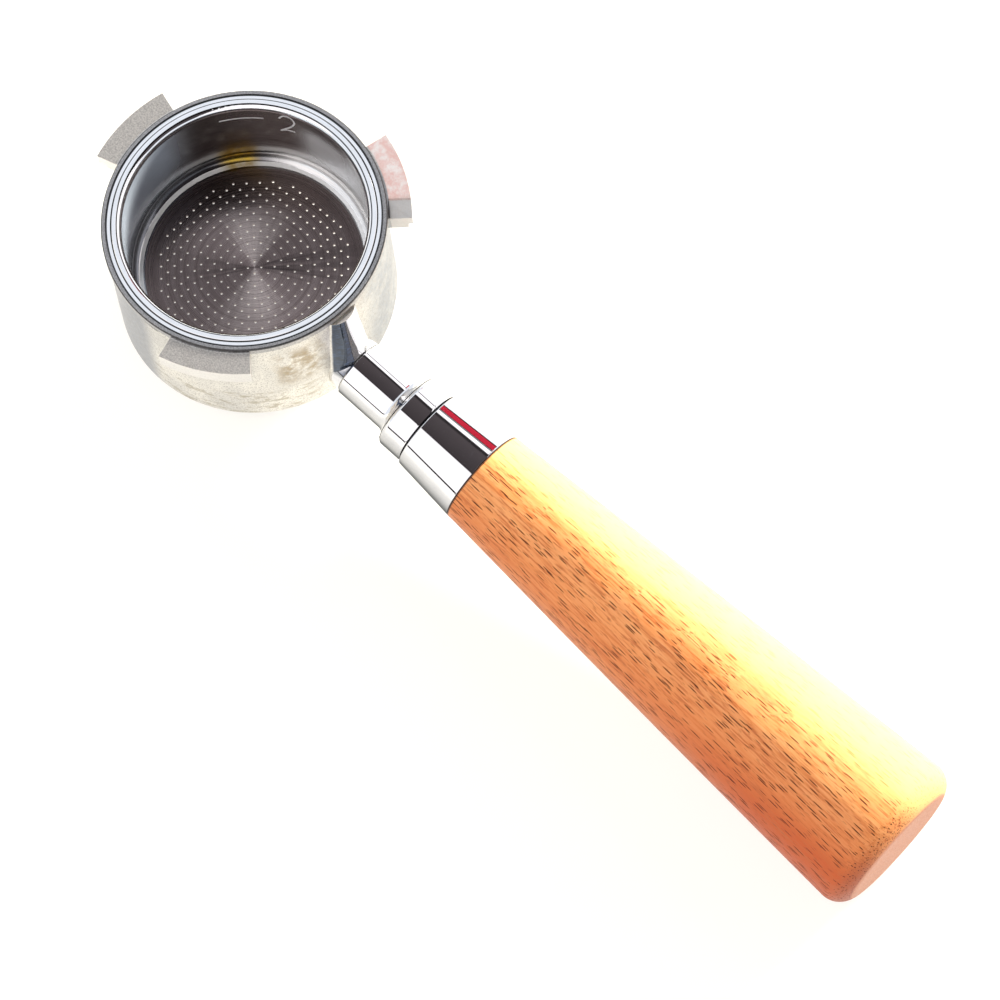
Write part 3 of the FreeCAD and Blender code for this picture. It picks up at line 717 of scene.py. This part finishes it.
def ribbon(name, path, width, proud):
    """A thin raised strip on the basket's wall along points of (azimuth, height)."""
    corners = []
    for before, here, after in zip(path[:1] + path, path, path[1:] + path[-1:]):
        corners += ribbon_section(before, here, after, width, proud)
    last = len(corners) - 4
    faces = [(3, 2, 1, 0), (last, last + 1, last + 2, last + 3)]
    for first in range(0, last, 4):
        for side in range(4):
            near = first + side
            far = first + (side + 1) % 4
            faces.append((near, far, far + 4, near + 4))
    mesh = bpy.data.meshes.new(name)
    mesh.from_pydata(corners, [], faces)
    mark = bpy.data.objects.new(name, mesh)
    bpy.context.scene.collection.objects.link(mark)
    mesh.materials.append(plain_metal(name + "_metal", (1.0, 0.98, 0.96), (0.9, 0.88, 0.86), 0.75, 0.2))
    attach(mark, "basket")


def smooth(points, steps):
    """A Catmull-Rom curve through the points."""
    ends = [points[0], *points, points[-1]]
    curve = []
    for quad in zip(ends, ends[1:], ends[2:], ends[3:]):
        for step in range(steps):
            t = step / steps
            weights = (-t + 2 * t ** 2 - t ** 3, 2 - 5 * t ** 2 + 3 * t ** 3,
                       t + 4 * t ** 2 - 3 * t ** 3, t ** 3 - t ** 2)
            across = sum(weight * point[0] for weight, point in zip(weights, quad)) / 2
            up = sum(weight * point[1] for weight, point in zip(weights, quad)) / 2
            curve.append((across, up))
    return [*curve, points[-1]]


def add_marks():
    """A level line and the figure 2 on the wall under the rim."""
    line_start = 147.0
    line_sweep = 21.0
    line_height = -4.6
    steps = 12
    line = [(line_start - line_sweep * i / steps, line_height) for i in range(steps + 1)]
    ribbon("level_line", line, 0.34, 0.05)
    corner = (118.6, -9.2)
    bowl = ((118.3, -3.4), (116.0, -1.9), (112.6, -1.9), (110.8, -3.8), (112.9, -6.2), (116.6, -8.2), corner)
    foot = (corner, (115.5, -8.3), (111.3, -8.2))
    ribbon("figure_two", smooth(bowl, 4) + smooth(foot, 4)[1:], 0.40, 0.05)


# ------------------------------------------------------------------------------ floor and light


def make_floor():
    """A white table that glows a little, as on a light box, so that shadows stay pale."""
    side = 6.0
    steps = 12
    row = steps + 1
    verts = [(side * (i / steps - 0.5), side * (j / steps - 0.5), 0.0)
             for j in range(row) for i in range(row)]
    faces = [(j * row + i, j * row + i + 1, (j + 1) * row + i + 1, (j + 1) * row + i)
             for j in range(steps) for i in range(steps)]
    mesh = bpy.data.meshes.new("floor")
    mesh.from_pydata(verts, [], faces)
    floor = bpy.data.objects.new("floor", mesh)
    bpy.context.scene.collection.objects.link(floor)
    s = Shader("floor_paper")
    s.set("Base Color", (0.36, 0.35, 0.32, 1.0))
    s.set("Roughness", 0.9)
    s.set("Specular IOR Level", 0.1)
    s.set("Emission Color", (1.0, 0.98, 0.94, 1.0))
    s.set("Emission Strength", 0.69)
    mesh.materials.append(s.material)


# How bright the studio is, by degrees about X from +Y over the top: pale walls, a dark strip
# overhead and thin dark edges.
STUDIO = (
    (0.0, 1.3), (44.0, 1.25), (44.8, 0.02), (46.2, 0.02), (47.0, 1.3), (55.5, 1.3), (57.0, 0.03),
    (62.0, 0.03), (66.0, 0.085), (111.0, 0.055), (115.5, 0.03), (117.0, 1.2), (175.0, 1.3),
    (176.0, 0.02), (180.0, 0.02),
)


def studio_tint(level):
    """The dark strip is slightly plum, the pale walls slightly rosy."""
    if level < 0.5:
        return (level, level * 0.84, level * 0.9)
    return (level, level * 0.97, level)


def hang_cloth(graph, x, degrees, strip):
    """A red cloth with a dark hem, hanging beside the studio's window."""
    spread = graph.band(x, -0.385, -0.29, 0.006)
    threads = graph.math("SINE", graph.times(graph.plus(degrees, graph.times(x, 120.0)), 3.0))
    cloth = graph.mix(graph.ramp(threads, -0.6, 0.8), (0.45, 0.01, 0.03), (0.85, 0.05, 0.09))
    strip = graph.mix(graph.times(graph.band(degrees, 25.0, 43.8, 0.4), spread), strip, (0.02, 0.02, 0.02))
    return graph.mix(graph.times(graph.band(degrees, 28.0, 41.8, 0.4), spread), strip, cloth)


def make_world():
    """A white studio with a dark strip overhead that runs along the handle."""
    world = bpy.data.worlds.new("studio")
    bpy.context.scene.world = world
    world.use_nodes = True
    graph = Graph(world.node_tree)
    output = graph.node("ShaderNodeOutputWorld")
    background = graph.node("ShaderNodeBackground")
    graph.link(background.outputs[0], output.inputs[0])
    x, y, z = graph.split(graph.node("ShaderNodeTexCoord").outputs["Generated"])
    turn = graph.math("DIVIDE", graph.math("ARCTAN2", z, y), math.pi)
    strip = graph.stops(turn, [(degrees / 180.0, studio_tint(level)) for degrees, level in STUDIO])
    strip = hang_cloth(graph, x, graph.times(turn, 180.0), strip)
    # Towards both ends of X the open studio takes over.
    ends = graph.most(graph.ramp(x, -0.40, -0.44), graph.ramp(x, 0.76, 0.84))
    graph.feed(background.inputs["Color"], graph.mix(ends, strip, (0.88, 0.92, 1.0)))


def area_light(name, position, aim, size, watts, colour):
    """A soft rectangular light that doesn't show in the metal."""
    data = bpy.data.lights.new(name, "AREA")
    data.shape = "RECTANGLE"
    data.size = size[0]
    data.size_y = size[1]
    data.energy = watts
    data.color = colour
    lamp = bpy.data.objects.new(name, data)
    bpy.context.scene.collection.objects.link(lamp)
    lamp.location = position
    direction = Vector(aim) - Vector(position)
    lamp.rotation_euler = direction.to_track_quat("-Z", "Y").to_euler()
    lamp.visible_glossy = False


# -------------------------------------------------------------------------------------- camera


def make_camera():
    """A long lens from above on the -Y side, turned so that the handle falls to the right."""
    place = Vector((0.25493, -0.38929, 1.51431))
    target = Vector((0.00058, -0.00253, 0.020))
    roll = math.radians(10.506)
    data = bpy.data.cameras.new("camera")
    data.sensor_width = 36.0
    data.lens = 270.0
    data.clip_end = 20.0
    camera = bpy.data.objects.new("camera", data)
    bpy.context.scene.collection.objects.link(camera)
    aim = (target - place).to_track_quat("-Z", "Y")
    camera.location = place
    camera.rotation_euler = (aim @ Quaternion((0.0, 0.0, 1.0), roll)).to_euler()
    bpy.context.scene.camera = camera


# ----------------------------------------------------------------------------------- the scene

dress("ring_body", ring_material())
dress("filter_basket", basket_material())
dress("basket_spring", plain_metal("spring_steel", (0.66, 0.66, 0.67), (0.50, 0.49, 0.48), 0.18, 0.3))
dress("neck_sleeve", chrome_material("neck_chrome", NECK_START, COLLAR_START))
dress("collar_ring", chrome_material("collar_chrome", COLLAR_START, FERRULE_START))
dress("ferrule", chrome_material("ferrule_chrome", FERRULE_START, WOOD_START))
dress("wood_handle", wood_material())
dress("handle_stud", plain_metal("stud_steel", (0.58, 0.58, 0.59), (0.42, 0.41, 0.40), 0.28, 0.4))
dress("insert_nut", plain_metal("insert_brass", (0.78, 0.60, 0.28), (0.62, 0.44, 0.18), 0.26, 0.4))
add_marks()

make_floor()
make_world()
area_light("key", (-0.12, 1.5, 0.50), (0.0, 0.0, 0.02), (0.9, 0.3), 125.0, (1.0, 0.96, 0.88))
area_light("overhead", (0.05, -0.45, 1.2), (0.02, 0.0, 0.02), (0.8, 0.5), 6.5, (1.0, 0.97, 0.93))
area_light("fill", (-0.6, -0.9, 0.9), (0.0, 0.0, 0.02), (1.0, 0.6), 4.0, (0.9, 0.95, 1.0))
make_camera()
bpy.context.scene.view_settings.view_transform = "Standard"
bpy.context.scene.view_settings.exposure = 0.0
